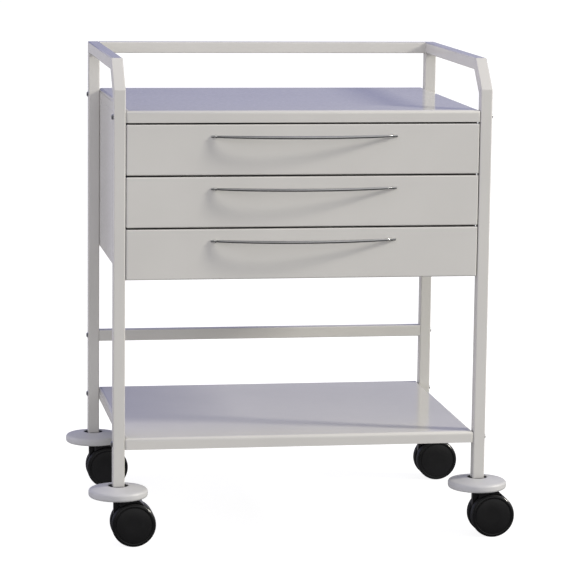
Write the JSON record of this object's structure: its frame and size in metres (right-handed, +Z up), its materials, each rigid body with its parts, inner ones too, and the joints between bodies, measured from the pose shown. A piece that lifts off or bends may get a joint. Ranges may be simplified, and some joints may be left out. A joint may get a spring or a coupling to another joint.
{
  "type": "drawer trolley",
  "caption": "Open tube-frame trolley with side bars, a top tray, sliding drawers with bow handles, a bottom shelf and swivelling twin-wheel casters under round bumper discs.",
  "frame": {"origin": "on the floor, midway between the four legs", "axes": "+Z up; the drawers open towards -Y; +X to the right when facing the drawers"},
  "size_m": [0.7325, 0.55, 0.82],
  "materials": {
    "powder_coat": "warm light grey powder coat, satin, fine orange-peel",
    "chrome": "polished chrome plate",
    "zinc_steel": "bright zinc-plated steel",
    "bumper_plastic": "light grey moulded plastic, satin",
    "socket_plastic": "black moulded plastic, matte",
    "housing_plastic": "black moulded plastic, semi-gloss",
    "wheel_plastic": "black moulded plastic wheel with a smooth tread, satin"
  },
  "bodies": {
    "frame": {"left_front_leg": "powder_coat", "left_corner_tube": "powder_coat", "left_top_bar": "powder_coat", "left_rear_leg": "powder_coat", "right_front_leg": "powder_coat", "right_corner_tube": "powder_coat", "right_top_bar": "powder_coat", "right_rear_leg": "powder_coat", "rear_top_rail": "powder_coat", "rear_lower_rail": "powder_coat", "top_tray": "powder_coat", "bottom_shelf": "powder_coat", "cabinet_side_left": "powder_coat", "cabinet_side_right": "powder_coat", "cabinet_back": "powder_coat", "cabinet_bottom": "powder_coat", "slide_outer_members": "zinc_steel", "frame_bolts": "zinc_steel", "frame_nuts": "zinc_steel", "leg_sockets": "socket_plastic", "caster_stems": "zinc_steel"},
    "drawer_low": {"drawer_low_front": "powder_coat", "drawer_low_box": "powder_coat", "drawer_low_handle": "chrome", "drawer_low_screws": "zinc_steel", "drawer_low_slides": "zinc_steel"},
    "slide_pair_low": {"slide_low_mid": "zinc_steel"},
    "drawer_mid": {"drawer_mid_front": "powder_coat", "drawer_mid_box": "powder_coat", "drawer_mid_handle": "chrome", "drawer_mid_screws": "zinc_steel", "drawer_mid_slides": "zinc_steel"},
    "slide_pair_mid": {"slide_mid_mid": "zinc_steel"},
    "drawer_top": {"drawer_top_front": "powder_coat", "drawer_top_box": "powder_coat", "drawer_top_handle": "chrome", "drawer_top_screws": "zinc_steel", "drawer_top_slides": "zinc_steel"},
    "slide_pair_top": {"slide_top_mid": "zinc_steel"},
    "bumper_fl": {"fl_bumper": "bumper_plastic"},
    "caster_fl": {"fl_housing": "housing_plastic", "fl_axle": "zinc_steel"},
    "wheel_fl_a": {"fl_wheel_a": "wheel_plastic"},
    "wheel_fl_b": {"fl_wheel_b": "wheel_plastic"},
    "bumper_fr": {"fr_bumper": "bumper_plastic"},
    "caster_fr": {"fr_housing": "housing_plastic", "fr_axle": "zinc_steel"},
    "wheel_fr_a": {"fr_wheel_a": "wheel_plastic"},
    "wheel_fr_b": {"fr_wheel_b": "wheel_plastic"},
    "bumper_rl": {"rl_bumper": "bumper_plastic"},
    "caster_rl": {"rl_housing": "housing_plastic", "rl_axle": "zinc_steel"},
    "wheel_rl_a": {"rl_wheel_a": "wheel_plastic"},
    "wheel_rl_b": {"rl_wheel_b": "wheel_plastic"},
    "bumper_rr": {"rr_bumper": "bumper_plastic"},
    "caster_rr": {"rr_housing": "housing_plastic", "rr_axle": "zinc_steel"},
    "wheel_rr_a": {"rr_wheel_a": "wheel_plastic"},
    "wheel_rr_b": {"rr_wheel_b": "wheel_plastic"}
  },
  "joints": [
    {"name": "drawer_low", "type": "slide", "parent": "frame", "child": "drawer_low", "axis": [0, -1, 0], "range_m": [0, 0.38]},
    {"name": "drawer_low_rails", "type": "slide", "parent": "frame", "child": "slide_pair_low", "axis": [0, -1, 0], "range_m": [0, 0.19]},
    {"name": "drawer_mid", "type": "slide", "parent": "frame", "child": "drawer_mid", "axis": [0, -1, 0], "range_m": [0, 0.38]},
    {"name": "drawer_mid_rails", "type": "slide", "parent": "frame", "child": "slide_pair_mid", "axis": [0, -1, 0], "range_m": [0, 0.19]},
    {"name": "drawer_top", "type": "slide", "parent": "frame", "child": "drawer_top", "axis": [0, -1, 0], "range_m": [0, 0.38]},
    {"name": "drawer_top_rails", "type": "slide", "parent": "frame", "child": "slide_pair_top", "axis": [0, -1, 0], "range_m": [0, 0.19]},
    {"name": "swivel_fl", "type": "hinge", "parent": "frame", "child": "caster_fl", "pos_m": [-0.31, -0.225, 0.07], "axis": [0, 0, 1], "continuous": true},
    {"name": "turn_bumper_fl", "type": "hinge", "parent": "frame", "child": "bumper_fl", "pos_m": [-0.31, -0.225, 0.09], "axis": [0, 0, 1], "continuous": true},
    {"name": "wheel_fl_a", "type": "hinge", "parent": "caster_fl", "child": "wheel_fl_a", "pos_m": [-0.285, -0.225, 0.0375], "axis": [0, 1, 0], "continuous": true},
    {"name": "wheel_fl_b", "type": "hinge", "parent": "caster_fl", "child": "wheel_fl_b", "pos_m": [-0.285, -0.225, 0.0375], "axis": [0, 1, 0], "continuous": true},
    {"name": "swivel_fr", "type": "hinge", "parent": "frame", "child": "caster_fr", "pos_m": [0.31, -0.225, 0.07], "axis": [0, 0, 1], "continuous": true},
    {"name": "turn_bumper_fr", "type": "hinge", "parent": "frame", "child": "bumper_fr", "pos_m": [0.31, -0.225, 0.09], "axis": [0, 0, 1], "continuous": true},
    {"name": "wheel_fr_a", "type": "hinge", "parent": "caster_fr", "child": "wheel_fr_a", "pos_m": [0.335, -0.225, 0.0375], "axis": [0, 1, 0], "continuous": true},
    {"name": "wheel_fr_b", "type": "hinge", "parent": "caster_fr", "child": "wheel_fr_b", "pos_m": [0.335, -0.225, 0.0375], "axis": [0, 1, 0], "continuous": true},
    {"name": "swivel_rl", "type": "hinge", "parent": "frame", "child": "caster_rl", "pos_m": [-0.31, 0.225, 0.07], "axis": [0, 0, 1], "continuous": true},
    {"name": "turn_bumper_rl", "type": "hinge", "parent": "frame", "child": "bumper_rl", "pos_m": [-0.31, 0.225, 0.09], "axis": [0, 0, 1], "continuous": true},
    {"name": "wheel_rl_a", "type": "hinge", "parent": "caster_rl", "child": "wheel_rl_a", "pos_m": [-0.285, 0.225, 0.0375], "axis": [0, 1, 0], "continuous": true},
    {"name": "wheel_rl_b", "type": "hinge", "parent": "caster_rl", "child": "wheel_rl_b", "pos_m": [-0.285, 0.225, 0.0375], "axis": [0, 1, 0], "continuous": true},
    {"name": "swivel_rr", "type": "hinge", "parent": "frame", "child": "caster_rr", "pos_m": [0.31, 0.225, 0.07], "axis": [0, 0, 1], "continuous": true},
    {"name": "turn_bumper_rr", "type": "hinge", "parent": "frame", "child": "bumper_rr", "pos_m": [0.31, 0.225, 0.09], "axis": [0, 0, 1], "continuous": true},
    {"name": "wheel_rr_a", "type": "hinge", "parent": "caster_rr", "child": "wheel_rr_a", "pos_m": [0.335, 0.225, 0.0375], "axis": [0, 1, 0], "continuous": true},
    {"name": "wheel_rr_b", "type": "hinge", "parent": "caster_rr", "child": "wheel_rr_b", "pos_m": [0.335, 0.225, 0.0375], "axis": [0, 1, 0], "continuous": true}
  ],
  "couplings": [
    {"joint": "drawer_low_rails", "follows": "drawer_low", "ratio": 0.5},
    {"joint": "drawer_mid_rails", "follows": "drawer_mid", "ratio": 0.5},
    {"joint": "drawer_top_rails", "follows": "drawer_top", "ratio": 0.5}
  ]
}
